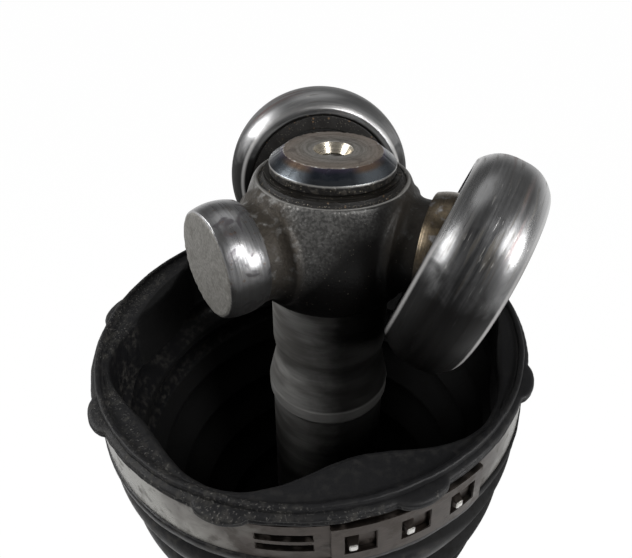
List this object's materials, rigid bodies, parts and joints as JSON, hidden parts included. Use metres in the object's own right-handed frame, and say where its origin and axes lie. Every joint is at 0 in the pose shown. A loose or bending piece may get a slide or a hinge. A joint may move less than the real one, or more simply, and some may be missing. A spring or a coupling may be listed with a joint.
{
  "type": "drive shaft",
  "caption": "Car drive shaft: bar with a bare tripod joint in an open rubber boot at one end, and a booted ball joint with a splined stub axle at the other.",
  "frame": {"origin": "centre of the tripod joint, where the three trunnion axes meet", "axes": "+Z along the bar, out of the gearbox end; the stub axle points to -Z; the outer joint bends about X"},
  "size_m": [0.0925, 0.0893, 0.4928],
  "materials": {
    "bar_steel": "dark, oily turned steel",
    "spider_steel": "forged, with ground heads",
    "bearing_steel": "ground and polished, scratched",
    "ring_steel": "spring steel",
    "boot_rubber": "black, dusty",
    "clamp_steel": "thin strip, stained",
    "bell_steel": "machined forging"
  },
  "bodies": {
    "axle": {"axle_bar": "bar_steel", "tripod_spider": "spider_steel", "spider_retaining_ring": "ring_steel", "inner_boot": "boot_rubber", "inner_boot_large_clamp": "clamp_steel", "inner_boot_small_clamp": "clamp_steel", "outer_boot": "boot_rubber", "outer_boot_small_clamp": "clamp_steel", "inner_race": "bearing_steel", "race_retaining_ring": "ring_steel"},
    "bell": {"outer_joint_bell": "bell_steel", "outer_boot_large_clamp": "clamp_steel"},
    "cage": {"ball_cage": "ring_steel", "joint_ball_1": "bearing_steel", "joint_ball_2": "bearing_steel", "joint_ball_3": "bearing_steel", "joint_ball_4": "bearing_steel", "joint_ball_5": "bearing_steel", "joint_ball_6": "bearing_steel"},
    "rear_pivot": {"rear_inner_ring": "bearing_steel"},
    "rear_roller": {"rear_roller": "bearing_steel", "rear_outer_side_ring": "ring_steel", "rear_inner_side_ring": "ring_steel"},
    "rear_needles": {"rear_needles": "bearing_steel"},
    "right_pivot": {"right_inner_ring": "bearing_steel"},
    "right_roller": {"right_roller": "bearing_steel", "right_outer_side_ring": "ring_steel", "right_inner_side_ring": "ring_steel"},
    "right_needles": {"right_needles": "bearing_steel"}
  },
  "joints": [
    {"name": "bell_bend", "type": "hinge", "parent": "axle", "child": "bell", "pos_m": [0, 0, -0.36], "axis": [1, 0, 0], "range_deg": [-45, 45], "deforming": ["outer_boot"]},
    {"name": "cage_bend", "type": "hinge", "parent": "axle", "child": "cage", "pos_m": [0, 0, -0.36], "axis": [1, 0, 0], "range_deg": [-22.5, 22.5]},
    {"name": "rear_tilt", "type": "hinge", "parent": "axle", "child": "rear_pivot", "pos_m": [-0.00271, 0.02173, 0], "axis": [-0.9923, -0.1236, 0], "range_deg": [-22.6, 14.6]},
    {"name": "rear_roller_spin", "type": "hinge", "parent": "rear_pivot", "child": "rear_roller", "pos_m": [-0.00302, 0.02421, -0.00017], "axis": [-0.1233, 0.9899, -0.0698], "continuous": true},
    {"name": "rear_needles_spin", "type": "hinge", "parent": "rear_pivot", "child": "rear_needles", "pos_m": [-0.00302, 0.02421, -0.00017], "axis": [-0.1233, 0.9899, -0.0698], "continuous": true},
    {"name": "right_tilt", "type": "hinge", "parent": "axle", "child": "right_pivot", "pos_m": [0.02017, -0.00852, 0], "axis": [0.3891, 0.9212, 0], "range_deg": [-37.2, 0]},
    {"name": "right_roller_spin", "type": "hinge", "parent": "right_pivot", "child": "right_roller", "pos_m": [0.02323, -0.00981, -0.00112], "axis": [0.8731, -0.3688, -0.319], "continuous": true},
    {"name": "right_needles_spin", "type": "hinge", "parent": "right_pivot", "child": "right_needles", "pos_m": [0.02323, -0.00981, -0.00112], "axis": [0.8731, -0.3688, -0.319], "continuous": true}
  ],
  "couplings": [
    {"joint": "cage_bend", "follows": "bell_bend", "ratio": 0.5},
    {"joint": "rear_needles_spin", "follows": "rear_roller_spin", "ratio": 0.54676},
    {"joint": "right_needles_spin", "follows": "right_roller_spin", "ratio": 0.54676}
  ]
}
